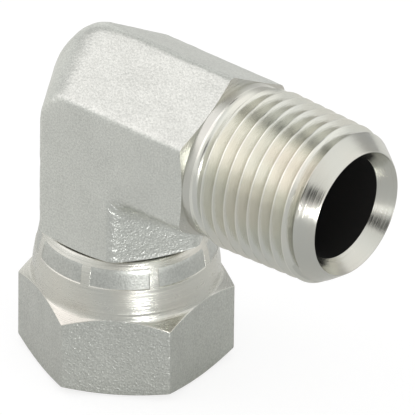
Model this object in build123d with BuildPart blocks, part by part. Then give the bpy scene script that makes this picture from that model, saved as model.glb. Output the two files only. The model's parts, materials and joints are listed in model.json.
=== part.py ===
from build123d import *

import os
from math import cos, radians, sin, tan

# Right-angle pipe fitting: a forged and turned steel elbow with a tapered male
# thread on its level arm, and a hexagon swivel nut crimped on its upright arm.
# The origin is the centre of the nut's open face, +Z runs up the nut's axis and
# +X runs out along the male arm. Every size is in millimetres and every angle
# in degrees.

# Elbow: each arm's straight length past the crotch, and the turned male end's length
upright_stub = 3.5
level_stub = 5.5
male_end_length = 19.65

# Elbow: the forged hexagon section that both arms share
body_flats = 20.6
body_edge_round = 0.9
heel_offset = 1.5
ridge_sweep_offset = 0.5
ridge_wear = 0.2
ridge_sweep_round = 4.2
ridge_sweep_spread = 28
crotch_round = 1.5
foot_chamfer_angle = 17
reach_chamfer_angle = 17

# Elbow: the turned male end, 1/2-14 taper pipe size over its thread crests
collar_length = 2.5
collar_depth = 0.05
thread_tip_radius = 10.25
thread_taper = 1 / 16
nose_length = 3.0
nose_crown = 0.2
nose_radius = 8.25

# Elbow: the drilled passages
male_bore_radius = 6.75
male_mouth_radius = 8.15
male_mouth_angle = 33
swivel_bore_radius = 5.0
drill_point_angle = 118
bore_overrun = 4.0
swivel_bore_overrun = 4.2

# Swivel nut: 3/4-16 thread bore at its minor diameter, and the wall from there to the hexagon's flats
swivel_thread_radius = 8.67
swivel_thread_mouth = 0.9
swivel_thread_length = 8.7
nut_wall = 3.33

# Swivel nut: the hexagon and its turned ends
nut_turn = 33.5
nut_corner_round = 0.35
nut_height = 19.3
hexagon_height = 11.45
open_face_step = 1.2
open_chamfer_angle = 18
neck_chamfer_angle = 33

# Swivel nut: neck, rolled rim and the lands that the crimping dies press
neck_straight = 1.8
neck_draw = 0.68
rim_draw = 1.5
rim_roll = 1.6
land_count = 8
land_turn = -54.8
land_sweep = 39
land_length = 2.4
land_rim_gap = 1.1
land_depth = 0.11
land_draw = 0.4

# Swivel nut: the chamber round the tail's head, and the crimped lip that holds it in
chamber_depth = 1.03
lip_hold = 1.25
lip_thickness = 1.9
lip_angle = 45

# Running clearances between the nut and the elbow's tail
swivel_gap = 0.4
head_play = 0.35
lip_play = 0.35
head_float = 0.3

# Tail head: the collar that the crimped lip holds, with its flared seat
head_foot_gap = 0.8
head_foot_chamfer = 0.6
seat_rim = 1.45
seat_angle = 37

# Places that follow from the sizes above
ridge_radius = body_flats / 2 / cos(radians(30))
body_foot = nut_height + swivel_gap
centre_height = body_foot + upright_stub + ridge_radius
body_reach = ridge_radius + level_stub
male_reach = body_reach + male_end_length
ridge_sweep_radius = ridge_radius - ridge_sweep_offset - ridge_wear
collar_radius = body_flats / 2 - collar_depth
collar_end = body_reach + collar_length
nose_start = male_reach - nose_length
male_mouth_depth = (male_mouth_radius - male_bore_radius) / tan(radians(male_mouth_angle))
drill_point_depth = male_bore_radius / tan(radians(drill_point_angle / 2))
swivel_bore_top = centre_height + swivel_bore_overrun
swivel_point_depth = swivel_bore_radius / tan(radians(drill_point_angle / 2))

neck_radius = swivel_thread_radius + nut_wall
open_face_radius = neck_radius - open_face_step
rim_radius = neck_radius - rim_draw
chamber_radius = swivel_thread_radius + chamber_depth
lip_radius = chamber_radius - lip_hold
nut_corner_radius = neck_radius / cos(radians(30))
open_rise = tan(radians(open_chamfer_angle))
neck_rise = tan(radians(neck_chamfer_angle))
cone_meet = (hexagon_height + neck_radius * neck_rise + open_face_radius * open_rise) / (open_rise + neck_rise)
neck_top_radius = neck_radius - neck_draw
neck_taper_start = hexagon_height + neck_straight
rim_start = nut_height - rim_roll
land_top = nut_height - land_rim_gap
land_foot = land_top - land_length
land_share = (land_foot - neck_taper_start) / (rim_start - neck_taper_start)
land_foot_radius = neck_radius - neck_draw * land_share - land_depth
thread_end = swivel_thread_mouth + swivel_thread_length
lip_foot = nut_height - lip_thickness
lip_slope = (chamber_radius - lip_radius) / tan(radians(lip_angle))
chamber_top = lip_foot - lip_slope

head_radius = chamber_radius - head_play
seat_radius = head_radius - seat_rim
groove_radius = lip_radius - lip_play
head_foot = thread_end + head_foot_gap
head_shoulder = chamber_top - head_float
head_top = head_shoulder + (head_radius - groove_radius) / tan(radians(lip_angle))
seat_top = head_foot + (seat_radius - swivel_bore_radius) / tan(radians(seat_angle))

male_axis = Axis((0, 0, centre_height), (1, 0, 0))
male_plane = Plane(origin=(0, 0, centre_height), x_dir=(1, 0, 0), z_dir=(0, -1, 0))


def crest_radius(x):
    """Radius over the thread crests of the male arm at a distance x along it."""
    return thread_tip_radius + (male_reach - x) * thread_taper / 2


def body_section():
    """The forged hexagon, its heel side (-X) rounded at the edges and its crotch side still sharp."""
    with BuildSketch() as section:
        RegularPolygon(body_flats / 2, 6, major_radius=False)
        fillet(section.vertices().sort_by(Axis.X)[:3], body_edge_round)
    return section.sketch


def runs_along_an_arm(edge):
    """True for a straight edge that lies along the upright or the level arm, on its crotch side."""
    if edge.geom_type != GeomType.LINE or edge.length < body_edge_round:
        return False
    lean = edge.tangent_at(0)
    place = edge.center()
    upright = abs(lean.Z) > 0.999 and place.X > ridge_radius / 4
    level = abs(lean.X) > 0.999 and place.Z < centre_height - ridge_radius / 4
    return upright or level


# Elbow
with BuildPart() as elbow:
    arm_section = body_section()
    heel_top = centre_height + heel_offset

    # Upright arm: ridges fore and aft, flats to the sides
    with BuildSketch(Plane.XY.offset(body_foot)):
        add(arm_section)
    extrude(amount=heel_top - body_foot)

    # Level arm: the same section with its ridges up and down
    with BuildSketch(Plane(origin=(-heel_offset, 0, centre_height), x_dir=(0, 0, -1), z_dir=(1, 0, 0))):
        add(arm_section)
    extrude(amount=heel_offset + body_reach)

    # Crotch: the inner corner between the arms, then the edges that run into it
    crotch_edges = [
        edge
        for edge in elbow.edges()
        if abs(edge.center().X + edge.center().Z - centre_height) < 0.001 and edge.center().X > ridge_radius / 2
    ]
    fillet(crotch_edges, crotch_round)
    fillet([edge for edge in elbow.edges() if runs_along_an_arm(edge)], body_edge_round)

    # Heel: the outer half of the section turned through the corner
    with BuildSketch(Plane.XY.offset(heel_top)):
        add(arm_section)
        with Locations((-heel_offset, 0)):
            Rectangle(2 * ridge_radius, 2 * body_flats, align=(Align.MAX, Align.CENTER), mode=Mode.INTERSECT)
    revolve(axis=Axis((-heel_offset, 0, heel_top), (0, 1, 0)), revolution_arc=90)

    # Heel's ridge: worn down by the forging die to a wider rounding, most of all at the corner
    with BuildSketch(Plane.XY.offset(centre_height + ridge_sweep_offset)):
        with BuildLine():
            crown = -ridge_sweep_offset - ridge_sweep_radius
            shoulder = crown + ridge_sweep_round * (1 - cos(radians(ridge_sweep_spread)))
            shoulder_width = ridge_sweep_round * sin(radians(ridge_sweep_spread))
            ThreePointArc((shoulder, -shoulder_width), (crown, 0), (shoulder, shoulder_width))
            Polyline(
                (shoulder, shoulder_width),
                (shoulder, body_flats),
                (crown - ridge_radius, body_flats),
                (crown - ridge_radius, -body_flats),
                (shoulder, -body_flats),
                (shoulder, -shoulder_width),
            )
        make_face()
    sweep_axis = Axis((-ridge_sweep_offset, 0, centre_height + ridge_sweep_offset), (0, 1, 0))
    revolve(axis=sweep_axis, revolution_arc=90, mode=Mode.SUBTRACT)

    # Foot: the upright arm's corners turned off where it stands over the nut
    with BuildSketch(Plane.XZ):
        with BuildLine():
            foot_rise = ridge_radius * tan(radians(foot_chamfer_angle))
            Polyline(
                (body_flats / 2, body_foot),
                (body_flats / 2 + ridge_radius, body_foot),
                (body_flats / 2 + ridge_radius, body_foot + foot_rise),
                close=True,
            )
        make_face()
    revolve(axis=Axis.Z, mode=Mode.SUBTRACT)

    # Reach: the level arm's corners turned off where the collar starts
    with BuildSketch(male_plane):
        with BuildLine():
            reach_fall = ridge_radius * tan(radians(reach_chamfer_angle))
            Polyline(
                (body_reach, body_flats / 2),
                (body_reach, body_flats / 2 + ridge_radius),
                (body_reach - reach_fall, body_flats / 2 + ridge_radius),
                close=True,
            )
        make_face()
    revolve(axis=male_axis, mode=Mode.SUBTRACT)

    # Male end: plain collar, taper over the thread crests and lead-in nose
    with BuildSketch(male_plane):
        with BuildLine():
            collar_rise = crest_radius(collar_end) - collar_radius
            Polyline(
                (0, 0),
                (0, collar_radius),
                (collar_end, collar_radius),
                (collar_end + collar_rise, crest_radius(collar_end + collar_rise)),
                (nose_start, crest_radius(nose_start)),
            )
            SagittaArc((nose_start, crest_radius(nose_start)), (male_reach, nose_radius), nose_crown)
            Polyline((male_reach, nose_radius), (male_reach, 0), (0, 0))
        make_face()
    revolve(axis=male_axis)

    # Tail: groove under the nut's crimped lip, and the head below it
    with BuildSketch(Plane.XZ):
        with BuildLine():
            Polyline(
                (0, centre_height),
                (groove_radius, centre_height),
                (groove_radius, head_top),
                (head_radius, head_shoulder),
                (head_radius, head_foot + head_foot_chamfer),
                (head_radius - head_foot_chamfer, head_foot),
                (0, head_foot),
                close=True,
            )
        make_face()
    revolve(axis=Axis.Z)

    # Male passage, with its mouth chamfer and the drill's point
    with BuildSketch(male_plane):
        with BuildLine():
            Polyline(
                (male_reach, 0),
                (male_reach, male_mouth_radius),
                (male_reach - male_mouth_depth, male_bore_radius),
                (-bore_overrun, male_bore_radius),
                (-bore_overrun - drill_point_depth, 0),
                close=True,
            )
        make_face()
    revolve(axis=male_axis, mode=Mode.SUBTRACT)

    # Swivel passage, opening in the flared seat, whose drill's point just marks the male passage's far wall
    with BuildSketch(Plane.XZ):
        with BuildLine():
            Polyline(
                (0, head_foot),
                (seat_radius, head_foot),
                (swivel_bore_radius, seat_top),
                (swivel_bore_radius, swivel_bore_top),
                (0, swivel_bore_top + swivel_point_depth),
                close=True,
            )
        make_face()
    revolve(axis=Axis.Z, mode=Mode.SUBTRACT)

elbow.part.label = "elbow"


# Crimping die: one land's share of the neck, taken off eight times
with BuildPart() as land_die:
    with BuildSketch(Plane.XZ):
        with BuildLine():
            Polyline(
                (land_foot_radius, land_foot),
                (land_foot_radius - land_draw, land_top),
                (nut_corner_radius, land_top),
                (nut_corner_radius, land_foot),
                close=True,
            )
        make_face()
    revolve(axis=Axis.Z, revolution_arc=land_sweep)


# Swivel nut
with BuildPart() as swivel_nut:
    # Hexagon with rounded corners, turned to a chamfer at both ends
    with BuildSketch() as nut_section:
        RegularPolygon(neck_radius, 6, major_radius=False, rotation=nut_turn)
        fillet(nut_section.vertices(), nut_corner_round)
    extrude(amount=hexagon_height)
    with BuildSketch(Plane.XZ):
        with BuildLine():
            Polyline(
                (0, 0),
                (open_face_radius, 0),
                (cone_meet, (cone_meet - open_face_radius) * open_rise),
                (neck_radius, hexagon_height),
                (0, hexagon_height),
                close=True,
            )
        make_face()
    revolve(axis=Axis.Z, mode=Mode.INTERSECT)

    # Neck: straight, then drawn in to the rolled rim
    with BuildSketch(Plane.XZ):
        with BuildLine():
            Polyline(
                (0, hexagon_height),
                (neck_radius, hexagon_height),
                (neck_radius, neck_taper_start),
                (neck_top_radius, rim_start),
                (rim_radius, nut_height),
                (0, nut_height),
                close=True,
            )
        make_face()
    revolve(axis=Axis.Z)

    # Inside: thread mouth, thread bore, the head's chamber and the crimped lip
    with BuildSketch(Plane.XZ):
        with BuildLine():
            Polyline(
                (0, 0),
                (swivel_thread_radius + swivel_thread_mouth, 0),
                (swivel_thread_radius, swivel_thread_mouth),
                (swivel_thread_radius, thread_end),
                (chamber_radius, thread_end),
                (chamber_radius, chamber_top),
                (lip_radius, lip_foot),
                (lip_radius, nut_height),
                (0, nut_height),
                close=True,
            )
        make_face()
    revolve(axis=Axis.Z, mode=Mode.SUBTRACT)

    # Crimped lands round the neck
    with PolarLocations(0, land_count, start_angle=land_turn - land_sweep / 2):
        add(land_die.part, mode=Mode.SUBTRACT)

swivel_nut.part.label = "swivel_nut"


os.makedirs("parts", exist_ok=True)
export_step(elbow.part, "parts/elbow.step")
export_step(swivel_nut.part, "parts/swivel_nut.step")
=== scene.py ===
"""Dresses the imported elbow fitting: its forged body, turned ends, threads, crimped nut and zinc finishes."""

import json
import math

import bmesh
import bpy
import numpy as np
from bpy.props import FloatProperty, FloatVectorProperty, IntProperty, PointerProperty
from bpy.types import Operator, Panel, PropertyGroup
from mathutils import Matrix, Vector, noise


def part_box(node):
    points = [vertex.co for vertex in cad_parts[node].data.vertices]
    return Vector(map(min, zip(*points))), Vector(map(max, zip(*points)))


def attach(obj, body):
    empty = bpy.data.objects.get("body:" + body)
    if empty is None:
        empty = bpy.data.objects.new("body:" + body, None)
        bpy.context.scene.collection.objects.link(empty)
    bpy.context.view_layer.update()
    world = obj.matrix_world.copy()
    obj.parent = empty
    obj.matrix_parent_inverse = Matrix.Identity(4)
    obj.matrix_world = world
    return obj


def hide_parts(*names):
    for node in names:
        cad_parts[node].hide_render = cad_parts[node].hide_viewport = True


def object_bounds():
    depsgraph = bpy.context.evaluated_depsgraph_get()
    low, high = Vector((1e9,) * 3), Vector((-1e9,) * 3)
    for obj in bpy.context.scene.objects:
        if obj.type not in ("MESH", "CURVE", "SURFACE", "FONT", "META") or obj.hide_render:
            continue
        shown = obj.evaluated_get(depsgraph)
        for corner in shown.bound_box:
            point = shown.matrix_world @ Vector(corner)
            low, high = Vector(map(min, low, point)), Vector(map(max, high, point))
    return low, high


bl_info = {
    "name": "Elbow Fitting Dresser",
    "version": (1, 0, 0),
    "blender": (4, 5, 0),
    "location": "View3D > Sidebar > Fitting",
    "description": "Builds a forged elbow fitting with its swivel nut and zinc plated finishes",
    "category": "Add Mesh",
}

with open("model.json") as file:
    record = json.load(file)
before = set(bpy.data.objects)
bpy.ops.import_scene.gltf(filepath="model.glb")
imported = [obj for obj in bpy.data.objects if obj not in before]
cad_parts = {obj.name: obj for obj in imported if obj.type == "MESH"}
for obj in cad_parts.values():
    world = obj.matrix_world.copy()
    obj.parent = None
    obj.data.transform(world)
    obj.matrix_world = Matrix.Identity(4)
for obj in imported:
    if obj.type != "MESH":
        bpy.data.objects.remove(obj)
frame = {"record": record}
CAD_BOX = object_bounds()

MM = 0.001
MOUNTS = {mount["name"]: mount for mount in frame["record"]["mounts"]}
TAIL_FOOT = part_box("elbow")[0].z
MALE_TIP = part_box("elbow")[1].x
NUT_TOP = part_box("swivel_nut")[1].z
MALE_AXIS_HEIGHT = MOUNTS["male_bore"]["pos_m"][2]
MALE_BORE_RADIUS = MOUNTS["male_bore"]["dims"]["r_mm"] * MM
SWIVEL_BORE_RADIUS = MOUNTS["swivel_bore"]["dims"]["r_mm"] * MM
NUT_THREAD_RADIUS = MOUNTS["swivel_thread"]["dims"]["r_mm"] * MM
FITTING_MIDDLE = (CAD_BOX[0] + CAD_BOX[1]) / 2
HEXAGON_SIDES = 6
HALF_SIDE = math.radians(30)
WHITE = (1.0, 1.0, 1.0, 1.0)
# Each finish's place among its piece's materials
NUT_BLASTED, NUT_TURNED, NUT_PRESSED = range(3)
ELBOW_FORGED, ELBOW_TURNED, ELBOW_DRILLED, ELBOW_THREADED, ELBOW_COARSE, ELBOW_NOSE = range(6)


def length(name, description, millimetres):
    """A length that a user can change, with its default in millimetres."""
    return FloatProperty(name=name, description=description, default=millimetres * MM, unit="LENGTH")


def angle(name, description, degrees):
    """An angle that a user can change, with its default in degrees."""
    return FloatProperty(name=name, description=description, default=math.radians(degrees), unit="ROTATION")


def number(name, description, value):
    """A plain number that a user can change."""
    return FloatProperty(name=name, description=description, default=value)


def colour(name, description, channels):
    """A colour that a user can change, with its default as linear red, green and blue."""
    return FloatVectorProperty(name=name, description=description, default=channels, subtype="COLOR")


class NutSizes(PropertyGroup):
    """Sizes of the swivel nut."""

    flats: length("Across flats", "Width over the hexagon's flats", 24)
    turn: angle("Turn", "Angle of the hexagon's first corner", 33.5)
    corner_round: length("Corner round", "Rounding of the hexagon's corners", 0.35)
    hexagon_height: length("Hexagon height", "Height of the hexagon up to the neck", 11.45)
    open_face_radius: length("Open face radius", "Radius of the open end's flat face", 10.8)
    open_angle: angle("Open end chamfer", "Rise of the open end's chamfer", 18)
    neck_angle: angle("Neck chamfer", "Rise of the chamfer under the neck", 33)
    neck_fillet: length("Neck fillet", "Rounding where the chamfer meets the neck", 0.7)
    neck_taper_start: length("Neck taper start", "Height where the neck starts to draw in", 13.25)
    rim_start: length("Rim start", "Height where the rolled rim starts", 17.7)
    rim_start_radius: length("Rim start radius", "Neck radius where the rim starts", 11.32)
    rim_radius: length("Rim radius", "Radius of the rim's top edge", 10.5)
    land_count: IntProperty(name="Lands", description="Number of crimped lands", default=8)
    land_turn: angle("Land turn", "Angle of the first land's middle", -54.8)
    land_sweep: angle("Land sweep", "Angle that one land spans", 39)
    land_foot: length("Land foot", "Height of the lands' lower lip", 15.8)
    land_top: length("Land top", "Height where the lands run out", 18.2)
    land_foot_radius: length("Land foot radius", "Radius of a land at its lower lip", 11.5)
    land_draw: length("Land draw", "How far a land leans in to its top", 0.4)
    lip_radius: length("Lip radius", "Inner radius of the crimped lip", 8.45)
    lip_foot: length("Lip foot", "Height of the crimped lip's lower edge", 17.4)
    chamber_radius: length("Chamber radius", "Radius of the chamber round the tail's head", 9.7)
    chamber_top: length("Chamber top", "Height where the chamber slopes in to the lip", 16.15)
    thread_mouth: length("Thread mouth", "Depth and width of the thread's mouth chamfer", 0.9)
    thread_end: length("Thread end", "Height where the thread opens in the chamber", 9.6)
    thread_pitch: length("Thread pitch", "Pitch of the nut's thread", 1.5875)
    thread_depth: length("Thread depth", "Depth of the nut's thread", 0.86)
    edge_break: length("Edge break", "Rounding of the nut's turned edges", 0.12)


class BodySizes(PropertyGroup):
    """Sizes of the elbow's forged body and tail."""

    flats: length("Across flats", "Width over the forged hexagon's flats", 20.6)
    foot: length("Foot", "Height of the body's foot over the nut's open face", 19.5)
    reach: length("Reach", "How far the level arm's hexagon reaches", 17.394)
    edge_round: length("Edge round", "Rounding of the forged edges", 1.4)
    inner_round: length("Inner round", "Rounding of the edges beside the crotch", 1.9)
    heel_back: length("Heel back", "Distance behind the upright axis that the heel's bend grows from", -1.5)
    heel_squash: number("Heel squash", "How fast the heel's bend grows backwards over how fast upwards", 0.63)
    heel_lift: length("Heel lift", "Height over the level axis that the heel's bend grows from", 0.9)
    heel_round: length("Heel round", "Rounding of the ridge where it is worn most", 6.4)
    heel_wear: length("Heel wear", "Length of worn ridge each side of the heel", 16)
    wear_shift: length("Wear shift", "How far down the upright arm the worn ridge sits", 3.2)
    crotch_round: length("Crotch round", "Rounding of the corner between the arms", 2.2)
    turned_angle: angle("Turned corners", "Slope of the hexagon's turned corners", 17)
    unevenness: length("Unevenness", "Depth of the hollows that forging leaves", 0.07)
    groove_radius: length("Groove radius", "Radius of the tail's groove", 8.1)
    head_radius: length("Head radius", "Radius of the tail's head", 9.35)
    head_shoulder: length("Head shoulder", "Height of the head's shoulder", 15.85)
    head_top: length("Head top", "Height where the head meets the groove", 17.1)
    head_chamfer: length("Head chamfer", "Chamfer at the head's foot", 0.6)
    seat_radius: length("Seat radius", "Radius of the flared seat's mouth", 7.9)
    seat_angle: angle("Seat angle", "Half angle of the flared seat", 37)


class MaleSizes(PropertyGroup):
    """Sizes of the elbow's turned male end."""

    collar_radius: length("Collar radius", "Radius of the plain collar", 10.25)
    collar_length: length("Collar length", "Length of the plain collar", 2.5)
    tip_radius: length("Tip radius", "Radius over the crests at the tip", 10.25)
    taper: number("Taper", "Taper on diameter", 1 / 16)
    pitch: length("Pitch", "Pitch of the male thread", 1.8143)
    depth: length("Depth", "Depth of the male thread", 1.42)
    crest_phase: length("Crest phase", "Place of a crest on the left side of the arm", -0.03)
    run_in: length("Run in", "Length over which the thread reaches its depth", 2.6)
    nose_length: length("Nose length", "Length of the lead-in nose", 3)
    nose_radius: length("Nose radius", "Radius of the nose's face", 8.25)
    nose_crown: length("Nose crown", "How far the nose bulges from a plain cone", 0.06)
    mouth_radius: length("Mouth radius", "Radius of the bore's mouth", 8.15)
    mouth_angle: angle("Mouth angle", "Half angle of the mouth's chamfer", 33)
    bore_overrun: length("Bore overrun", "How far the male bore runs past the swivel axis", 4)
    swivel_overrun: length("Swivel overrun", "How far the swivel bore runs past the male axis", 4.2)
    drill_angle: angle("Drill point", "Angle of the drills' points", 118)


class FinishColours(PropertyGroup):
    """Colours of the zinc plated steel, and of the painted shade inside the passages."""

    forged: colour("Forged zinc", "Zinc on the forged and blasted faces", (0.768, 0.783, 0.733))
    forged_dull: colour("Dull zinc", "Duller patches of the forged faces", (0.515, 0.527, 0.492))
    turned: colour("Turned zinc", "Zinc on the turned faces", (0.64, 0.636, 0.576))
    turned_warm: colour("Warm zinc", "Warm tint that drifts over turned faces", (0.66, 0.628, 0.565))
    turned_cool: colour("Cool zinc", "Cool tint that drifts over turned faces", (0.62, 0.625, 0.58))
    # Painted shade: the passages' near-black colours stand in for the shade deep inside the bores.
    passage_shade: colour("Passage", "Dark steel inside the passages", (0.02, 0.022, 0.022))
    passage_shade_warm: colour("Warm passage", "Warmer rings inside the passages", (0.03, 0.026, 0.024))


class StudioSettings(PropertyGroup):
    """The camera and its picture."""

    azimuth: angle("Azimuth", "Camera's turn round the fitting", 39.733)
    elevation: angle("Elevation", "Camera's height over the floor", 32.705)
    roll: angle("Roll", "Camera's lean", -0.468)
    distance: length("Distance", "Camera's distance from the origin", 1666.7)
    pixels_per_metre: number("Scale", "Picture pixels for a metre at the origin", 7856.0)
    picture_size: number("Picture size", "Picture's side in pixels", 415.0)
    origin_px: FloatVectorProperty(
        name="Origin", description="Pixel where the origin shows", size=2, default=(125.852, 346.569)
    )
    sensor: number("Sensor", "Sensor width in millimetres", 36.0)


class FittingSettings(PropertyGroup):
    """All settings of the fitting."""

    nut: PointerProperty(type=NutSizes)
    body: PointerProperty(type=BodySizes)
    male: PointerProperty(type=MaleSizes)
    colours: PointerProperty(type=FinishColours)
    studio: PointerProperty(type=StudioSettings)


def smooth_step(value, low, high):
    """0 below low, 1 above high and a smooth rise between them, for arrays too."""
    share = np.clip((value - low) / (high - low), 0.0, 1.0)
    return share * share * (3 - 2 * share)


def soft_minimum(a, b, softness):
    """The lower of two arrays, with the corner where they cross rounded over that softness."""
    share = np.clip(0.5 + 0.5 * (b - a) / softness, 0.0, 1.0)
    return b + (a - b) * share - softness * share * (1 - share)


def hexagon_radius(angles, apothem, rounds, first_corner=0.0):
    """Polar radius of a hexagon whose corners, at first_corner and every 60 degrees on, are rounded.

    rounds is one rounding, or an array of six columns with each corner's own.
    """
    side = 2 * HALF_SIDE
    place = (angles - first_corner) / side
    nearest = np.round(place)
    off_corner = np.abs(place - nearest) * side
    corner = nearest.astype(int) % HEXAGON_SIDES
    rounds = np.broadcast_to(np.asarray(rounds, float), (len(angles), HEXAGON_SIDES))
    rounding = np.take_along_axis(rounds, corner[:, None], axis=1)[:, 0]
    flat = apothem / np.cos(HALF_SIDE - off_corner)
    centre = (apothem - rounding) / math.cos(HALF_SIDE)
    tangent = np.arctan2(rounding * math.sin(HALF_SIDE), centre + rounding * math.cos(HALF_SIDE))
    under_root = np.maximum(rounding**2 - (centre * np.sin(off_corner)) ** 2, 0.0)
    arc = centre * np.cos(off_corner) + np.sqrt(under_root)
    return np.where(off_corner < tangent, arc, flat)


def rounded_profile(corners):
    """Rows of (radius, height) along an open profile, one column for each angle.

    corners holds (radius, height, rounding, steps after it); radius and height may be arrays. A corner
    with rounding is cut by a short curve, and steps adds plain rows on the way to the next corner.
    """
    longest_share = 0.45
    curve_rows = 5
    tiny = 1e-9
    columns = max(np.size(value) for corner in corners for value in corner[:2])
    points = [
        np.stack([np.broadcast_to(np.asarray(v, float), (columns,)) for v in corner[:2]], axis=1)
        for corner in corners
    ]
    last = len(points) - 1
    curves = []
    for i, (here, corner) in enumerate(zip(points, corners)):
        if corner[2] == 0 or i in (0, last):
            curves.append([here])
            continue
        to_before = points[i - 1] - here
        to_after = points[i + 1] - here
        long_before = np.maximum(np.linalg.norm(to_before, axis=1, keepdims=True), tiny)
        long_after = np.maximum(np.linalg.norm(to_after, axis=1, keepdims=True), tiny)
        start = here + to_before / long_before * np.minimum(corner[2], longest_share * long_before)
        end = here + to_after / long_after * np.minimum(corner[2], longest_share * long_after)
        shares = np.linspace(0, 1, curve_rows)
        curves.append([(1 - t) ** 2 * start + 2 * t * (1 - t) * here + t**2 * end for t in shares])
    profile = []
    for i, corner in enumerate(corners[:-1]):
        profile.extend(curves[i])
        leave, arrive = curves[i][-1], curves[i + 1][0]
        for step in range(1, corner[3] + 1):
            share = step / (corner[3] + 1)
            profile.append(leave + (arrive - leave) * share)
    return profile + curves[last]


class Skin:
    """Vertices and faces of one mesh as it grows."""

    def __init__(self):
        self.points = []
        self.faces = []
        self.count = 0

    def add_points(self, points):
        """Adds an array of points and returns their indices."""
        points = np.asarray(points, float)
        first = self.count
        self.points.append(points)
        self.count += len(points)
        return np.arange(first, self.count)

    def level_ring(self, radius, angles, reach):
        """Adds points round the male axis and returns their indices."""
        return self.add_points(level_points(radius, angles, reach))

    def bridge(self, lower, upper):
        """Joins two closed rings of as many points by quads."""
        following = np.roll(np.arange(len(lower)), -1)
        self.faces.extend(zip(lower, lower[following], upper[following], upper))

    def stack(self, rings):
        """Joins each ring to the next."""
        for lower, upper in zip(rings, rings[1:]):
            self.bridge(lower, upper)

    def cap(self, ring, centre, flip=False):
        """Closes a ring with triangles to a centre point."""
        middle = self.add_points([centre])[0]
        for here, there in zip(ring, np.roll(ring, -1)):
            self.faces.append((there, here, middle) if flip else (here, there, middle))

    def mesh(self, name):
        """The finished mesh, with its faces turned outwards."""
        mesh = bpy.data.meshes.new(name)
        faces = []
        for face in self.faces:
            kept = [int(p) for i, p in enumerate(face) if p != face[i - 1]]
            if len(kept) > 2:
                faces.append(kept)
        mesh.from_pydata(np.concatenate(self.points).tolist(), [], faces)
        shape = bmesh.new()
        shape.from_mesh(mesh)
        bmesh.ops.recalc_face_normals(shape, faces=shape.faces)
        if shape.calc_volume(signed=True) < 0:
            bmesh.ops.reverse_faces(shape, faces=shape.faces)
        shape.to_mesh(mesh)
        shape.free()
        return mesh


def even_angles(columns):
    """That many even angles round an axis."""
    return np.linspace(0, 2 * math.pi, columns + 1)[:-1]


def upright_points(radius, angles, height):
    """Ring round the upright axis."""
    radius, height, angles = np.broadcast_arrays(radius, height, angles)
    return np.stack([radius * np.cos(angles), radius * np.sin(angles), height], axis=1)


def level_points(radius, angles, reach):
    """Ring round the male axis; the same angle lies on the same side of both arms."""
    radius, reach, angles = np.broadcast_arrays(radius, reach, angles)
    return np.stack([reach, radius * np.sin(angles), MALE_AXIS_HEIGHT - radius * np.cos(angles)], axis=1)


def linked_object(name, data):
    """A new object in the scene that shows that mesh, lamp or camera."""
    made = bpy.data.objects.new(name, data)
    bpy.context.scene.collection.objects.link(made)
    return made


def new_piece(name, mesh, finishes, sharp_angle=math.radians(32)):
    """A smooth object with those finishes, whose sharp edges stay sharp."""
    piece = linked_object(name, mesh)
    mesh.materials.clear()
    for finish in finishes:
        mesh.materials.append(finish)
    mesh.polygons.foreach_set("use_smooth", np.ones(len(mesh.polygons), bool))
    mesh.set_sharp_from_angle(angle=sharp_angle)
    weighting = piece.modifiers.new("Face weighting", "WEIGHTED_NORMAL")
    weighting.keep_sharp = True
    return piece


def face_centres(mesh):
    """Centres and normals of a mesh's faces."""
    centres = np.empty(len(mesh.polygons) * 3)
    mesh.polygons.foreach_get("center", centres)
    normals = np.empty(len(mesh.polygons) * 3)
    mesh.polygons.foreach_get("normal", normals)
    return centres.reshape(-1, 3), normals.reshape(-1, 3)


def thread_height(turn, crest=0.035, root=0.06):
    """Height of a V-shaped thread at a place in turns, from 0 at the root to 1 at the crest.

    crest and root are half the widths of their flats, as shares of the pitch.
    """
    away = np.abs((turn + 0.5) % 1.0 - 0.5)
    return np.clip((0.5 - root - away) / (0.5 - root - crest), 0.0, 1.0)


def nut_columns(sizes):
    """Angles of the nut's columns, closer together at the hexagon's corners and the lands' ends."""
    plain = np.radians(np.arange(0, 360, 3.0))
    corners = sizes.turn + np.arange(HEXAGON_SIDES) * 2 * HALF_SIDE
    near_corner = np.radians([-1.6, -1.1, -0.75, -0.4, -0.15, 0.15, 0.4, 0.75, 1.1, 1.6])
    land_middles = sizes.land_turn + np.arange(sizes.land_count) * 2 * math.pi / sizes.land_count
    land_ends = np.concatenate([land_middles - sizes.land_sweep / 2, land_middles + sizes.land_sweep / 2])
    near_end = np.radians([-1.0, -0.45, -0.2, 0.0, 0.2, 0.45, 1.0])
    fine = np.concatenate([(corners[:, None] + near_corner).ravel(), (land_ends[:, None] + near_end).ravel()])
    fine = fine % (2 * math.pi)
    gap = np.abs((plain[:, None] - fine[None, :] + math.pi) % (2 * math.pi) - math.pi).min(axis=1)
    return np.sort(np.concatenate([plain[gap > math.radians(0.5)], fine]))


def land_share(angles, sizes):
    """1 on the lands, 0 between them and a short slope at their ends."""
    spacing = 2 * math.pi / sizes.land_count
    off_middle = np.abs((angles - sizes.land_turn + spacing / 2) % spacing - spacing / 2)
    end = sizes.land_sweep / 2
    return 1 - smooth_step(off_middle, end - math.radians(0.45), end + math.radians(0.2))


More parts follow.
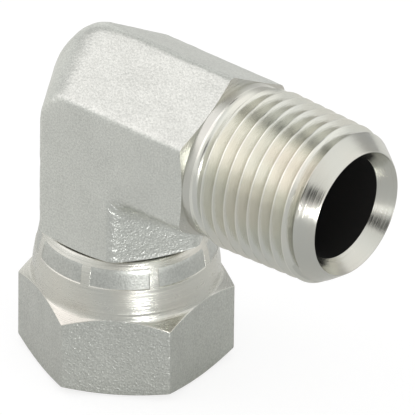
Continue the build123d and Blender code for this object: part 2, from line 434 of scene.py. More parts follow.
def build_nut_mesh(sizes):
    """The swivel nut: hexagon, neck, crimped lands, rolled rim, lip, chamber and thread."""
    angles = nut_columns(sizes)
    neck_radius = sizes.flats / 2
    section = hexagon_radius(angles, neck_radius, sizes.corner_round, sizes.turn)
    open_rise = math.tan(sizes.open_angle)
    neck_rise = math.tan(sizes.neck_angle)
    mouth_radius = NUT_THREAD_RADIUS + sizes.thread_mouth
    edge = sizes.edge_break
    hexagon_foot = (section - sizes.open_face_radius) * open_rise
    hexagon_top = sizes.hexagon_height - (section - neck_radius) * neck_rise
    neck_slope = (neck_radius - sizes.rim_start_radius) / (sizes.rim_start - sizes.neck_taper_start)
    lip = 0.05 * MM
    neck_bend = 1.2 * MM
    rim_bend = 0.75 * MM
    rim_edge = 0.3 * MM
    land_fade = 0.6 * MM

    def neck_at(height):
        return neck_radius - neck_slope * max(height - sizes.neck_taper_start, 0.0)

    profile = [
        (mouth_radius, 0.0, edge, 0),
        (sizes.open_face_radius, 0.0, edge, 1),
        (section, hexagon_foot, edge, 10),
        (section, hexagon_top, edge, 1),
        (neck_radius, sizes.hexagon_height, sizes.neck_fillet, 2),
        (neck_radius, sizes.neck_taper_start, neck_bend, 4),
        (neck_at(sizes.land_foot - lip), sizes.land_foot - lip, 0.0, 0),
        (neck_at(sizes.land_foot + lip), sizes.land_foot + lip, 0.0, 6),
        (sizes.rim_start_radius, sizes.rim_start, rim_bend, 3),
        (sizes.rim_radius, NUT_TOP, rim_edge, 0),
        (sizes.lip_radius, NUT_TOP, edge, 1),
        (sizes.lip_radius, sizes.lip_foot, edge, 0),
        (sizes.chamber_radius, sizes.chamber_top, edge, 3),
        (sizes.chamber_radius, sizes.thread_end, edge, 0),
        (NUT_THREAD_RADIUS, sizes.thread_end, 0.0, 0),
    ]
    lands = land_share(angles, sizes)
    rows = []
    for row in rounded_profile(profile):
        radius, height = row[:, 0], row[:, 1]
        on_land = (height > sizes.land_foot) & (height < sizes.land_top + land_fade)
        on_land &= radius > sizes.rim_radius - MM
        climb = (height - sizes.land_foot) / (sizes.land_top - sizes.land_foot)
        land_radius = sizes.land_foot_radius - sizes.land_draw * climb
        pressed = np.where(on_land, np.minimum(radius, land_radius), radius)
        rows.append(upright_points(radius + (pressed - radius) * lands, angles, height))
    rows.extend(nut_thread_rows(angles, sizes))
    skin = Skin()
    rings = [skin.add_points(row) for row in rows]
    skin.stack(rings + rings[:1])
    return skin.mesh("swivel_nut_shape")


def nut_thread_rows(angles, sizes, rows_per_turn=10):
    """Rows down the nut's helical thread, from its chamber end to its mouth."""
    thread_length = sizes.thread_end - sizes.thread_mouth
    count = int(thread_length / sizes.thread_pitch * rows_per_turn)
    rows = []
    for step in range(1, count):
        height = sizes.thread_end - thread_length * step / count
        turn = height / sizes.thread_pitch - angles / (2 * math.pi)
        fade = smooth_step(height, sizes.thread_mouth * 0.4, sizes.thread_mouth + 0.6 * sizes.thread_pitch)
        fade = fade * (1 - smooth_step(height, sizes.thread_end - 0.5 * sizes.thread_pitch, sizes.thread_end))
        cut = thread_height(turn, crest=0.06, root=0.12) * sizes.thread_depth * fade
        rows.append(upright_points(NUT_THREAD_RADIUS + cut, angles, height))
    rows.append(upright_points(NUT_THREAD_RADIUS, angles, sizes.thread_mouth))
    return rows


def finish_nut_faces(mesh, sizes):
    """Sorts the nut's faces into blasted flats, pressed lands and everything turned."""
    centres, normals = face_centres(mesh)
    x, y, height = centres.T
    radius = np.hypot(x, y)
    slack = 0.02 * MM
    upright = np.abs(normals[:, 2]) < 0.25
    flats = upright & (radius > sizes.flats / 2 - slack) & (height < sizes.hexagon_height - slack)
    lands = (land_share(np.arctan2(y, x), sizes) > 0.9) & (radius > sizes.rim_radius)
    lands &= (height > sizes.land_foot) & (height < sizes.land_top)
    index = np.where(flats, NUT_BLASTED, np.where(lands, NUT_PRESSED, NUT_TURNED))
    mesh.polygons.foreach_set("material_index", index.astype(np.int32))


def body_section(angles, sizes, ridge_round, wander):
    """Radius of the forged section, whose heel ridge has its own rounding and whose edges wander a little."""
    inner_edges, heel_ridge = [1, 5], 3
    rounds = sizes.edge_round * (1 + wander)
    rounds[:, inner_edges] *= sizes.inner_round / sizes.edge_round
    rounds[:, heel_ridge] = ridge_round * (1 + 0.3 * wander[:, heel_ridge])
    return hexagon_radius(angles, sizes.flats / 2, rounds)


def edge_wander(along):
    """Share by which each edge of the section departs from its rounding at a place along the arms."""
    scale = 900.0
    apart = 7.3
    most = 0.4
    places = [Vector((along * scale, edge * apart, 2.1)) for edge in range(HEXAGON_SIDES)]
    return np.array([[most * noise.noise(place) for place in places]])


def body_stations(angles, sizes, rows=26):
    """Rings up the upright arm, round the heel and out along the level arm."""
    corner = MALE_AXIS_HEIGHT
    apothem = sizes.flats / 2
    ridge = apothem / math.cos(HALF_SIDE)
    least_bend = 0.02 * MM
    ridge_bend = (sizes.heel_squash * (ridge - sizes.heel_back), ridge - sizes.heel_lift)
    bend_length = sum(ridge_bend) / 2 * math.pi / 2
    upright_length = corner + sizes.heel_lift - sizes.foot
    level_length = sizes.reach + ridge - ridge_bend[0]
    turned = math.tan(sizes.turned_angle)
    shares = np.linspace(0, 1, rows)
    stations = [("upright", share) for share in shares]
    stations += [("bend", share) for share in shares[1:]]
    stations += [("level", share) for share in shares[1:]]
    rings = []
    for kind, share in stations:
        if kind == "upright":
            along = (share - 1) * upright_length - bend_length / 2
        elif kind == "bend":
            along = (share - 0.5) * bend_length
        else:
            along = bend_length / 2 + share * level_length
        wear = 1 - smooth_step(abs(along + sizes.wear_shift), 0.12 * sizes.heel_wear, sizes.heel_wear)
        ridge_round = sizes.edge_round + (sizes.heel_round - sizes.edge_round) * wear
        radius = body_section(angles, sizes, ridge_round, edge_wander(along))
        inward = radius * np.cos(angles)
        aside = radius * np.sin(angles)
        crotch = smooth_step(inward, -sizes.heel_lift, apothem / math.sqrt(3))
        inner = sizes.crotch_round * crotch + least_bend
        bend_back = np.maximum(sizes.heel_squash * (-inward - sizes.heel_back), inner)
        bend_up = np.maximum(-inward - sizes.heel_lift, inner)
        upright_end = corner - inward - bend_up
        level_start = inward + bend_back
        corner_cut = np.maximum(radius - apothem, 0.0) * turned
        if kind == "upright":
            low = sizes.foot + corner_cut
            x = inward
            z = low + (upright_end - low) * share
        elif kind == "bend":
            turn = math.pi * (1 - share / 2)
            x = level_start + bend_back * math.cos(turn)
            z = upright_end + bend_up * math.sin(turn)
        else:
            high = sizes.reach - corner_cut
            x = level_start + (high - level_start) * share
            z = corner - inward
        rings.append(np.stack([x, aside, z], axis=1))
    return rings


def press_in(rings, sizes):
    """Moves the forged skin in by a shallow, uneven amount, least at its turned ends."""
    wide_scale, close_scale = 260.0, 900.0
    pressed = []
    last = len(rings) - 1
    grid = np.stack(rings)
    along = np.gradient(grid, axis=0)
    around = np.roll(grid, -1, axis=1) - np.roll(grid, 1, axis=1)
    outward = np.cross(around, along)
    outward /= np.maximum(np.linalg.norm(outward, axis=2, keepdims=True), 1e-12)
    centre_side = grid - grid.mean(axis=1, keepdims=True)
    if (outward * centre_side).sum() < 0:
        outward = -outward
    for i, ring in enumerate(rings):
        ends = min(1.0, i / 3, (last - i) / 3)
        dents = np.empty(len(ring))
        for j, point in enumerate(ring):
            wide = noise.noise(Vector(point) * wide_scale)
            close = noise.noise(Vector(point) * close_scale)
            dents[j] = 0.5 + 0.55 * wide + 0.35 * close
        amount = sizes.unevenness * np.clip(dents, 0.0, 1.2) * ends
        pressed.append(ring - outward[i] * amount[:, None])
    return pressed


def nose_curve(reach, male):
    """Radius of the lead-in nose at places along the male axis: a shallow crowned cone."""
    start = MALE_TIP - male.nose_length
    high = male.tip_radius + male.nose_length * male.taper / 2
    share = (reach - start) / male.nose_length
    return high + (male.nose_radius - high) * share + 4 * male.nose_crown * share * (1 - share)


def male_radius(reach, angles, male, turn=None):
    """Radius of the threaded end: the crest line's taper, less the thread's cut, under the nose."""
    collar_rise = 0.8 * MM
    run_out_start, run_out_end = 0.5 * MM, 1.2 * MM
    nose_reach = 0.4 * MM
    softness = 0.05 * MM
    start = MALE_TIP - male.nose_length
    foot = bpy.context.scene.fitting.body.reach + male.collar_length
    crest = male.tip_radius + (MALE_TIP - reach) * male.taper / 2
    rise = smooth_step(reach, foot, foot + collar_rise)
    envelope = male.collar_radius + (crest - male.collar_radius) * rise
    if turn is None:
        compass = (angles - math.pi / 2) % (2 * math.pi)
        turn = (reach - male.crest_phase) / male.pitch - compass / (2 * math.pi)
    depth = male.depth * smooth_step(reach, foot - 0.5 * male.run_in, foot + 0.5 * male.run_in)
    depth = depth * (1 - smooth_step(reach, start + run_out_start, start + run_out_end))
    threaded = envelope - depth * (1 - thread_height(turn))
    nose = np.where(reach > start - nose_reach, nose_curve(reach, male), envelope + MM)
    return soft_minimum(threaded, nose, softness)


def add_thread(skin, angles, male, low_reach, high_reach):
    """Adds the helical thread between two rings and returns those rings' indices.

    Its rows follow the helix at the turns listed, so that each crest and root runs along edges of the mesh.
    """
    turns = np.array([0.0, 0.035, 0.06, 0.15, 0.25, 0.35, 0.44, 0.5, 0.56, 0.65, 0.75, 0.85, 0.94, 0.965])
    compass = (angles - math.pi / 2) % (2 * math.pi)
    first = int(math.floor((low_reach - male.crest_phase) / male.pitch)) - 1
    last = int(math.ceil((high_reach - male.crest_phase) / male.pitch)) + 1
    rows = np.concatenate([k + turns for k in range(first, last)])
    order = np.argsort(compass)
    sorted_compass = compass[order]
    reach = male.crest_phase + male.pitch * (rows[None, :] + sorted_compass[:, None] / (2 * math.pi))
    snap = 0.03 * MM
    low_ring = skin.level_ring(male_radius(low_reach, angles, male), angles, low_reach)
    high_ring = skin.level_ring(male_radius(high_reach, angles, male), angles, high_reach)
    inside = (reach > low_reach + snap) & (reach < high_reach - snap)
    index = np.where(reach <= low_reach + snap, low_ring[order][:, None], high_ring[order][:, None])
    column, row = np.nonzero(inside)
    column_angles = angles[order][column]
    places = reach[column, row]
    radii = male_radius(places, column_angles, male, turn=rows[row])
    index[column, row] = skin.level_ring(radii, column_angles, places)
    wrapped = np.full((1, len(rows)), high_ring[order[0]])
    wrapped[0, : -len(turns)] = index[0, len(turns) :]
    index = np.concatenate([index, wrapped])
    corners = [index[:-1, :-1], index[1:, :-1], index[1:, 1:], index[:-1, 1:]]
    for face in zip(*(corner.ravel() for corner in corners)):
        if len(set(face)) > 2:
            skin.faces.append(face)
    return low_ring, high_ring


def build_elbow_mesh(body, male):
    """The elbow's outside as one closed skin: tail, forged body, collar, thread and nose."""
    angles = even_angles(288)
    head_edge, groove_edge = 0.1 * MM, 0.15 * MM
    foot_rings = (9.3 * MM, body.flats / 2 - 0.05 * MM)
    nose_edge_length, nose_edge_drop = 0.03 * MM, 0.04 * MM
    thread_end = 0.75 * MM
    skin = Skin()
    tail = [
        (body.head_radius - body.head_chamfer, TAIL_FOOT, 0.0, 0),
        (body.head_radius, TAIL_FOOT + body.head_chamfer, head_edge, 3),
        (body.head_radius, body.head_shoulder, groove_edge, 1),
        (body.groove_radius, body.head_top, groove_edge, 2),
        (body.groove_radius, body.foot, 0.0, 0),
    ]
    tail_rows = rounded_profile(tail)
    rings = [skin.add_points(upright_points(row[0, 0], angles, row[0, 1])) for row in tail_rows]
    skin.cap(rings[0], (0, 0, TAIL_FOOT), flip=True)
    for radius in foot_rings:
        rings.append(skin.add_points(upright_points(radius, angles, body.foot)))
    for ring in press_in(body_stations(angles, body), body):
        rings.append(skin.add_points(ring))
    low_reach = body.reach + male.collar_length - 0.5 * male.run_in
    for place in np.linspace(body.reach, low_reach, 3)[:-1]:
        rings.append(skin.level_ring(male.collar_radius, angles, place))
    high_reach = MALE_TIP - thread_end
    low_ring, high_ring = add_thread(skin, angles, male, low_reach, high_reach)
    skin.stack(rings + [low_ring])
    nose = [high_ring]
    for share in (0.4, 0.8):
        place = high_reach + (MALE_TIP - high_reach) * share
        nose.append(skin.level_ring(nose_curve(place, male), angles, place))
    nose.append(skin.level_ring(male.nose_radius, angles, MALE_TIP - nose_edge_length))
    nose.append(skin.level_ring(male.nose_radius - nose_edge_drop, angles, MALE_TIP))
    skin.stack(nose)
    skin.cap(nose[-1], (MALE_TIP, 0, MALE_AXIS_HEIGHT))
    return skin.mesh("elbow_shape")


def drill_shape(name, profile, place_ring, columns=144):
    """A closed cutter turned about an arm's axis, from (radius, place) points that start and end on it."""
    angles = even_angles(columns)
    skin = Skin()
    rings = [skin.add_points(place_ring(radius, angles, place)) for radius, place in profile[1:-1]]
    skin.stack(rings)
    start = place_ring(0.0, angles[:1], profile[0][1])[0]
    end = place_ring(0.0, angles[:1], profile[-1][1])[0]
    skin.cap(rings[0], start, flip=True)
    skin.cap(rings[-1], end)
    return linked_object(name, skin.mesh(name))


def drill(mesh, cutters):
    """The mesh with the drilled passages cut out of it; the cutters are removed."""
    blank = linked_object("blank", mesh)
    for cutter in cutters:
        cut = blank.modifiers.new("Drill", "BOOLEAN")
        cut.operation = "DIFFERENCE"
        cut.solver = "MANIFOLD"
        cut.object = cutter
        bpy.context.view_layer.update()
        graph = bpy.context.evaluated_depsgraph_get()
        drilled = bpy.data.meshes.new_from_object(blank.evaluated_get(graph))
        blank.modifiers.remove(cut)
        blank.data = drilled
        bpy.data.objects.remove(cutter)
    mesh = blank.data
    bpy.data.objects.remove(blank)
    return mesh


def drill_point(radius, male):
    """Length of the point that a drill of that radius leaves."""
    return radius / math.tan(male.drill_angle / 2)


def mouth_depth(male):
    """Depth of the chamfer at the male bore's mouth."""
    return (male.mouth_radius - MALE_BORE_RADIUS) / math.tan(male.mouth_angle)


def male_passage(male):
    """The male bore's cutter, with its mouth chamfer and drill point."""
    beyond = 0.5 * MM
    profile = [
        (0, -male.bore_overrun - drill_point(MALE_BORE_RADIUS, male)),
        (MALE_BORE_RADIUS, -male.bore_overrun),
        (MALE_BORE_RADIUS, MALE_TIP - mouth_depth(male)),
        (male.mouth_radius + beyond * math.tan(male.mouth_angle), MALE_TIP + beyond),
        (0, MALE_TIP + beyond),
    ]
    return drill_shape("male_passage", profile, level_points)


def swivel_passage(body, male):
    """The swivel bore's cutter, with its flared seat and drill point."""
    slope = math.tan(body.seat_angle)
    beyond = 0.5 * MM
    depth = (body.seat_radius - SWIVEL_BORE_RADIUS) / slope
    top = MALE_AXIS_HEIGHT + male.swivel_overrun
    profile = [
        (0, TAIL_FOOT - beyond),
        (body.seat_radius + beyond * slope, TAIL_FOOT - beyond),
        (SWIVEL_BORE_RADIUS, TAIL_FOOT + depth),
        (SWIVEL_BORE_RADIUS, top),
        (0, top + drill_point(SWIVEL_BORE_RADIUS, male)),
    ]
    return drill_shape("swivel_passage", profile, upright_points)


def finish_elbow_faces(mesh, body, male):
    """Sorts the elbow's faces into forged, turned, drilled, threaded, coarsely forged and the nose."""
    hair = 0.001 * MM
    slack = 0.06 * MM
    thread_start = body.reach + 1.2 * MM
    above_drill_points = MALE_AXIS_HEIGHT + 8 * MM
    centres, normals = face_centres(mesh)
    reach, across, height = centres.T
    from_male_axis = np.hypot(across, height - MALE_AXIS_HEIGHT)
    from_upright_axis = np.hypot(reach, across)
    turned = (reach > body.reach - hair) | (height < body.foot + hair)
    turned |= (reach > body.reach - MM) & (normals[:, 0] > 0.7)
    turned |= (height < body.foot + MM) & (normals[:, 2] < -0.7)
    point = drill_point(MALE_BORE_RADIUS, male)
    drilled_radius = MALE_BORE_RADIUS * np.clip((reach + male.bore_overrun + point) / point, 0.0, 1.0)
    drilled = (from_male_axis < drilled_radius + slack) & (reach < MALE_TIP - mouth_depth(male) - hair)
    drilled |= (from_upright_axis < SWIVEL_BORE_RADIUS + slack) & (height < above_drill_points)
    nose = reach > MALE_TIP - male.nose_length
    threaded = (reach > thread_start) & (reach < MALE_TIP - male.nose_length)
    threaded &= from_male_axis > MALE_BORE_RADIUS + MM
    coarse = (normals[:, 0] > 0.3) & (np.abs(normals[:, 2]) < 0.5) & (from_upright_axis > body.flats / 2 - MM)
    sorts = [drilled, threaded, turned & nose, turned, coarse]
    finishes = [ELBOW_DRILLED, ELBOW_THREADED, ELBOW_NOSE, ELBOW_TURNED, ELBOW_COARSE]
    index = np.select(sorts, finishes, ELBOW_FORGED)
    mesh.polygons.foreach_set("material_index", index.astype(np.int32))


class Wire:
    """A shader socket that Python's operators work on; each operation adds its Math node."""

    def __init__(self, board, socket):
        self.board = board
        self.socket = socket

    def _maths(self, operation, *operands):
        return self.board.node("ShaderNodeMath", {"operation": operation}, dict(enumerate(operands)))

    def __add__(self, other):
        return self._maths("ADD", self, other)

    __radd__ = __add__

    def __sub__(self, other):
        return self._maths("SUBTRACT", self, other)

    def __rsub__(self, other):
        return self._maths("SUBTRACT", other, self)

    def __mul__(self, other):
        return self._maths("MULTIPLY", self, other)

    __rmul__ = __mul__

    def __pow__(self, other):
        return self._maths("POWER", self, other)

    def stretched(self, low, high, smooth=False):
        """0 at low, 1 at high and clamped beyond them, with a smooth rise if asked."""
        values = {"Value": self, "From Min": low, "From Max": high}
        options = {"clamp": True, "interpolation_type": "SMOOTHSTEP" if smooth else "LINEAR"}
        return self.board.node("ShaderNodeMapRange", options, values)


class Board:
    """The node tree of one material or world, emptied."""

    def __init__(self, owner):
        self.owner = owner
        owner.use_nodes = True
        self.tree = owner.node_tree
        self.tree.nodes.clear()

    def node(self, kind, options=None, values=None, output=0):
        """Adds a node with its settings and its socket values or links, and returns an output as a wire."""
        made = self.tree.nodes.new(kind)
        for name, value in (options or {}).items():
            setattr(made, name, value)
        for key, value in (values or {}).items():
            socket = made.inputs[key]
            if isinstance(value, Wire):
                self.tree.links.new(value.socket, socket)
            else:
                socket.default_value = value
        return Wire(self, made.outputs[output]) if len(made.outputs) else made

    def place(self):
        """Where a point lies on the object, in metres."""
        return self.node("ShaderNodeTexCoord", output=3)

    def noise(self, place, scale, detail=2.0, roughness=0.5):
        """Noise from 0 to 1 over a place, with that many features to a metre."""
        values = {"Vector": place, "Scale": scale, "Detail": detail, "Roughness": roughness}
        return self.node("ShaderNodeTexNoise", {}, values)

    def tint(self, share, first, second):
        """A colour mixed from the first to the second."""
        values = {0: share, 6: first, 7: second}
        return self.node("ShaderNodeMix", {"data_type": "RGBA"}, values, output=2)

    def split(self, vector):
        """The X, Y and Z of a vector."""
        parts = self.tree.nodes.new("ShaderNodeSeparateXYZ")
        self.tree.links.new(vector.socket, parts.inputs[0])
        return [Wire(self, parts.outputs[i]) for i in range(3)]

    def join(self, x, y, z):
        """A vector from its three parts."""
        return self.node("ShaderNodeCombineXYZ", {}, {0: x, 1: y, 2: z})


def shaded(value, shade=1.0):
    """A colour property with its alpha; a shade below 1 darkens it with painted shade, and one above 1 makes
    it paler with painted light.
    """
    return (*(channel * shade for channel in value), 1.0)


def steel(board, base, roughness, height, depth, bump_strength=1.0, metallic=1.0):
    """A metal surface with that colour, roughness and bump of that depth."""
    values = {"Strength": bump_strength, "Distance": depth, "Height": height}
    normal = board.node("ShaderNodeBump", {}, values)
    values = {"Base Color": base, "Roughness": roughness, "Metallic": metallic, "Normal": normal}
    surface = board.node("ShaderNodeBsdfPrincipled", {}, values)
    board.node("ShaderNodeOutputMaterial", {}, {"Surface": surface})


def forged_zinc(name, colours, shade=1.0, grain_depth=0.05 * MM):
    """Zinc on a forged or blasted face: a matt, glittering grain with duller patches; a shade below 1 darkens
    its colours with painted shade.
    """
    board = Board(bpy.data.materials.new(name))
    place = board.place()
    patches = board.noise(place, 260.0, detail=3.0)
    grain = board.noise(place, 3700.0, detail=2.0, roughness=0.6)
    flecks = board.noise(place, 7000.0, detail=1.0)
    values = {"Vector": place, "Scale": 3000.0, "Smoothness": 0.5}
    pits = board.node("ShaderNodeTexVoronoi", {"feature": "SMOOTH_F1"}, values)
    dull = patches.stretched(0.3, 0.8) * 0.25 + grain.stretched(0.38, 0.62) * 0.4
    dull = dull + flecks.stretched(0.4, 0.6) * 0.35
    base = board.tint(dull, shaded(colours.forged, shade), shaded(colours.forged_dull, shade))
    roughness = 0.35 + grain.stretched(0.3, 0.7) * 0.08 - flecks.stretched(0.5, 0.7) * 0.1
    height = grain * 0.6 + pits * 0.5 + flecks * 0.35
    steel(board, base, roughness, height, grain_depth)
    return board.owner


def turned_zinc(name, colours, along, line_depth, shade=1.0, satin=0.17):
    """Zinc on a turned face: satin, with fine tool lines round the axis called along, and drifting tints; a
    shade below 1 darkens its colours with painted shade and one above 1 makes them paler with painted light.
    """
    board = Board(bpy.data.materials.new(name))
    place = board.place()
    x, y, z = board.split(place)
    level, radius = turning_axis(x, y, z, along)
    lines_at = board.join(level, radius, 0.0)
    coarse = board.noise(lines_at, 3600.0, detail=1.0)
    fine = board.noise(lines_at, 14000.0, detail=1.0)
    drift = board.noise(place, 140.0, detail=1.0)
    mottle = board.noise(place, 900.0, detail=3.0)
    warm = drift.stretched(0.48, 0.66) * 0.45
    cool = drift.stretched(0.5, 0.34) * 0.7
    base = board.tint(warm, shaded(colours.turned, shade), shaded(colours.turned_warm, shade))
    base = board.tint(cool, base, shaded(colours.turned_cool, shade))
    roughness = satin + coarse.stretched(0.3, 0.7) * 0.06 + mottle.stretched(0.4, 0.8) * 0.06
    height = coarse * 0.2 + fine * 0.8
    steel(board, base, roughness, height, line_depth)
    return board.owner


def turning_axis(x, y, z, along):
    """Place along a turned end's axis, and the distance from that axis."""
    if along == "level":
        drop = z - MALE_AXIS_HEIGHT
        return x, (y * y + drop * drop) ** 0.5
    return z, (x * x + y * y) ** 0.5


def passage_steel(name, colours):
    """Painted shade inside the drilled passages: a near-black steel with warmer rings that stands in for the
    shade deep in the bores.
    """
    board = Board(bpy.data.materials.new(name))
    place = board.place()
    rings = board.noise(place, 1500.0, detail=2.0)
    base = board.tint(rings, shaded(colours.passage_shade), shaded(colours.passage_shade_warm))
    roughness = 0.5 + rings * 0.2
    steel(board, base, roughness, rings, 0.02 * MM, bump_strength=0.4, metallic=0.6)
    return board.owner


def camera_rays(board):
    """1 for rays from the camera and 0 for all others."""
    return board.node("ShaderNodeLightPath", {}, {}, output="Is Camera Ray")


def floor_paint():
    """Floor that is white with a faint shadow to the camera, and whose colour carries painted shade in front
    and painted light behind, so that it mirrors greyer in front than behind.
    """
    board = Board(bpy.data.materials.new("floor_paint"))
    # Painted shade and light: front is a darker floor colour and behind a paler one, seen only in the
    # fitting's reflections.
    beside, front, behind = (0.795, 0.795, 0.785, 1.0), (0.585, 0.595, 0.6, 1.0), (0.91, 0.91, 0.89, 1.0)
    x, y, _ = board.split(board.place())
    forward = x * 0.8 - y * 0.6
    painted_shade_and_light = board.tint(forward.stretched(0.0, 0.05, smooth=True), beside, front)
    painted_shade_and_light = board.tint(forward.stretched(-0.04, -0.1, smooth=True), painted_shade_and_light, behind)
    camera = camera_rays(board)
    shown = board.tint(camera, painted_shade_and_light, WHITE)
    share = camera * 0.72
    lit = board.node("ShaderNodeBsdfDiffuse", {}, {"Color": shown})
    glow = board.node("ShaderNodeEmission", {}, {"Color": WHITE, "Strength": 1.07})
    surface = board.node("ShaderNodeMixShader", {}, {0: share, 1: lit, 2: glow})
    board.node("ShaderNodeOutputMaterial", {}, {"Surface": surface})
    return board.owner


def studio_world():
    """A white world for the camera, and a pale studio with soft brighter and darker walls for the fitting."""
    board = Board(bpy.data.worlds.new("studio_world"))
    direction = board.node("ShaderNodeTexCoord", {}, {}, output=0)
    dome = (0.86, 0.865, 0.86, 1.0)
    for azimuth, elevation, inner, outer, shade in studio_walls():
        values = {0: direction, 1: aim_at(azimuth, elevation)}
        facing = board.node("ShaderNodeVectorMath", {"operation": "DOT_PRODUCT"}, values, output=1)
        share = facing.stretched(math.cos(math.radians(outer)), math.cos(math.radians(inner)), smooth=True)
        dome = board.tint(share, dome, (shade, shade, shade, 1.0))
    camera = camera_rays(board)
    shown = board.tint(camera, dome, WHITE)
    background = board.node("ShaderNodeBackground", {}, {"Color": shown, "Strength": 1.0})
    board.node("ShaderNodeOutputWorld", {}, {"Surface": background})
    return board.owner


def studio_walls():
    """Azimuth, elevation, inner and outer spread in degrees and brightness of the studio's soft walls."""
    return [
        (25, 30, 25, 55, 1.1),
        (145, 0, 15, 40, 1.1),
        (95, 5, 15, 40, 0.5),
        (-62, 24, 8, 26, 0.5),
        (-46, 29, 7, 14, 0.03),
        (-51, 7, 3, 9, 1.5),
        (138, 56, 4, 11, 0.02),
        (165, 27, 6, 22, 0.5),
        (-136, 56, 5, 16, 0.5),
    ]


def aim_at(azimuth, elevation):
    """Unit vector towards an azimuth and elevation in degrees."""
    azimuth, elevation = math.radians(azimuth), math.radians(elevation)
    return (
        math.cos(azimuth) * math.cos(elevation),
        math.sin(azimuth) * math.cos(elevation),
        math.sin(elevation),
    )


def soft_light(name, direction, distance, size, radiance, shade=(1.0, 1.0, 1.0)):
    """A rectangular soft box that faces the fitting from a direction and glows with that radiance."""
    lamp = bpy.data.lights.new(name, "AREA")
    lamp.shape = "RECTANGLE"
    lamp.size, lamp.size_y = size
    lamp.energy = radiance * math.pi * size[0] * size[1]
    lamp.color = shade
    light = linked_object(name, lamp)
    aim = Vector(direction).normalized()
    light.location = FITTING_MIDDLE + aim * distance
    light.rotation_mode = "QUATERNION"
    light.rotation_quaternion = (-aim).to_track_quat("-Z", "Y")
    light.visible_camera = False


def set_camera(studio):
    """The camera, on the measured view of the fitting."""
    azimuth, elevation, roll = studio.azimuth, studio.elevation, studio.roll
    right = Vector((math.cos(azimuth), math.sin(azimuth), 0))
    lean = math.sin(elevation)
    up = Vector((-math.sin(azimuth) * lean, math.cos(azimuth) * lean, math.cos(elevation)))
    back = right.cross(up)
    camera_right = right * math.cos(roll) - up * math.sin(roll)
    camera_up = right * math.sin(roll) + up * math.cos(roll)
    focal_px = studio.pixels_per_metre * studio.distance
    middle = studio.picture_size / 2
    aside = (middle - studio.origin_px[0]) / focal_px
    rise = (studio.origin_px[1] - middle) / focal_px
    new_back = (back - camera_right * aside - camera_up * rise).normalized()
    new_right = (camera_right - new_back * camera_right.dot(new_back)).normalized()
    new_up = new_back.cross(new_right)
    data = bpy.data.cameras.new("studio_camera")
    data.sensor_width = studio.sensor
    data.lens = focal_px / studio.picture_size * studio.sensor
    data.clip_start, data.clip_end = 0.1, 20.0
    camera = linked_object("studio_camera", data)
    turn = Matrix((new_right, new_up, new_back)).transposed().to_4x4()
    camera.matrix_world = Matrix.Translation(back * studio.distance) @ turn
    bpy.context.scene.camera = camera


class FITTING_OT_swivel_nut(Operator):
    """Builds the crimped swivel nut"""

    bl_idname = "fitting.swivel_nut"
    bl_label = "Swivel Nut"

    def execute(self, context):
        sizes = context.scene.fitting.nut
        colours = context.scene.fitting.colours
        finishes = [
            # Painted shade darkens the blasted flats and the pressed lands, and painted light makes the turned
            # neck, chamfers and rim paler.
            forged_zinc("nut_blasted_zinc", colours, shade=0.885, grain_depth=0.095 * MM),
            turned_zinc("nut_turned_zinc", colours, "upright", 0.045 * MM, shade=1.04, satin=0.2),
            forged_zinc("nut_pressed_zinc", colours, shade=0.84, grain_depth=0.04 * MM),
        ]
        piece = new_piece("swivel_nut_dressed", build_nut_mesh(sizes), finishes)
        finish_nut_faces(piece.data, sizes)
        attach(piece, "nut_body")
        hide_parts("swivel_nut")
        return {"FINISHED"}


class FITTING_OT_elbow(Operator):
    """Builds the forged elbow with its thread, tail and passages"""

    bl_idname = "fitting.elbow"
    bl_label = "Elbow"

    def execute(self, context):
        body = context.scene.fitting.body
        male = context.scene.fitting.male
        colours = context.scene.fitting.colours
        mesh = drill(build_elbow_mesh(body, male), [male_passage(male), swivel_passage(body, male)])
        finishes = [
            # Painted shade darkens the plain turned faces such as the collar and tail, and painted light makes
            # the thread paler.
            forged_zinc("elbow_forged_zinc", colours),
            turned_zinc("elbow_turned_zinc", colours, "level", 0.018 * MM, shade=0.93, satin=0.25),
            # Painted shade inside the passages
            passage_steel("passage_steel", colours),
            turned_zinc("elbow_thread_zinc", colours, "level", 0.012 * MM, shade=1.21),
            forged_zinc("elbow_coarse_zinc", colours, grain_depth=0.105 * MM),
            turned_zinc("elbow_nose_zinc", colours, "level", 0.016 * MM, satin=0.14),
        ]
        piece = new_piece("elbow_dressed", mesh, finishes)
        finish_elbow_faces(piece.data, body, male)
        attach(piece, "elbow_body")
        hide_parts("elbow")
        return {"FINISHED"}


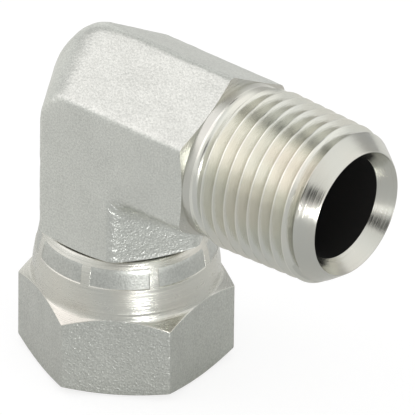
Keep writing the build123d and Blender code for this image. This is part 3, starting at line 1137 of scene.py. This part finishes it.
class FITTING_OT_stage(Operator):
    """Lays the floor, hangs the lights and sets the camera"""

    bl_idname = "fitting.stage"
    bl_label = "Stage"

    def execute(self, context):
        mesh = bpy.data.meshes.new("floor")
        side = 3.0
        corners = [(-side, -side, 0), (side, -side, 0), (side, side, 0), (-side, side, 0)]
        mesh.from_pydata(corners, [], [(0, 1, 2, 3)])
        mesh.materials.append(floor_paint())
        linked_object("floor", mesh)
        context.scene.world = studio_world()
        rosy = (1.0, 0.93, 0.97)
        soft_light("overhead_box", aim_at(-146, 44), 0.6, size=(0.52, 0.65), radiance=0.7, shade=rosy)
        soft_light("right_strip", aim_at(-34, 4), 0.7, size=(0.15, 0.1), radiance=27.0)
        set_camera(context.scene.fitting.studio)
        context.scene.view_settings.view_transform = "Standard"
        return {"FINISHED"}


class FITTING_PT_panel(Panel):
    """The fitting's sizes, colours and build buttons"""

    bl_idname = "FITTING_PT_panel"
    bl_label = "Elbow Fitting"
    bl_space_type = "VIEW_3D"
    bl_region_type = "UI"
    bl_category = "Fitting"

    def draw(self, context):
        layout = self.layout
        for operator in (FITTING_OT_swivel_nut, FITTING_OT_elbow, FITTING_OT_stage):
            layout.operator(operator.bl_idname)
        for group in ("nut", "body", "male", "colours", "studio"):
            box = layout.box()
            box.label(text=group.capitalize())
            values = getattr(context.scene.fitting, group)
            for name in values.__annotations__:
                box.prop(values, name)


CLASSES = (
    NutSizes,
    BodySizes,
    MaleSizes,
    FinishColours,
    StudioSettings,
    FittingSettings,
    FITTING_OT_swivel_nut,
    FITTING_OT_elbow,
    FITTING_OT_stage,
    FITTING_PT_panel,
)


def register():
    """Adds the classes and the scene's settings."""
    for cls in CLASSES:
        bpy.utils.register_class(cls)
    bpy.types.Scene.fitting = PointerProperty(type=FittingSettings)


def unregister():
    """Removes them again."""
    del bpy.types.Scene.fitting
    for cls in reversed(CLASSES):
        bpy.utils.unregister_class(cls)


def main():
    register()
    bpy.ops.fitting.swivel_nut()
    bpy.ops.fitting.elbow()
    bpy.ops.fitting.stage()


if __name__ == "__main__":
    main()
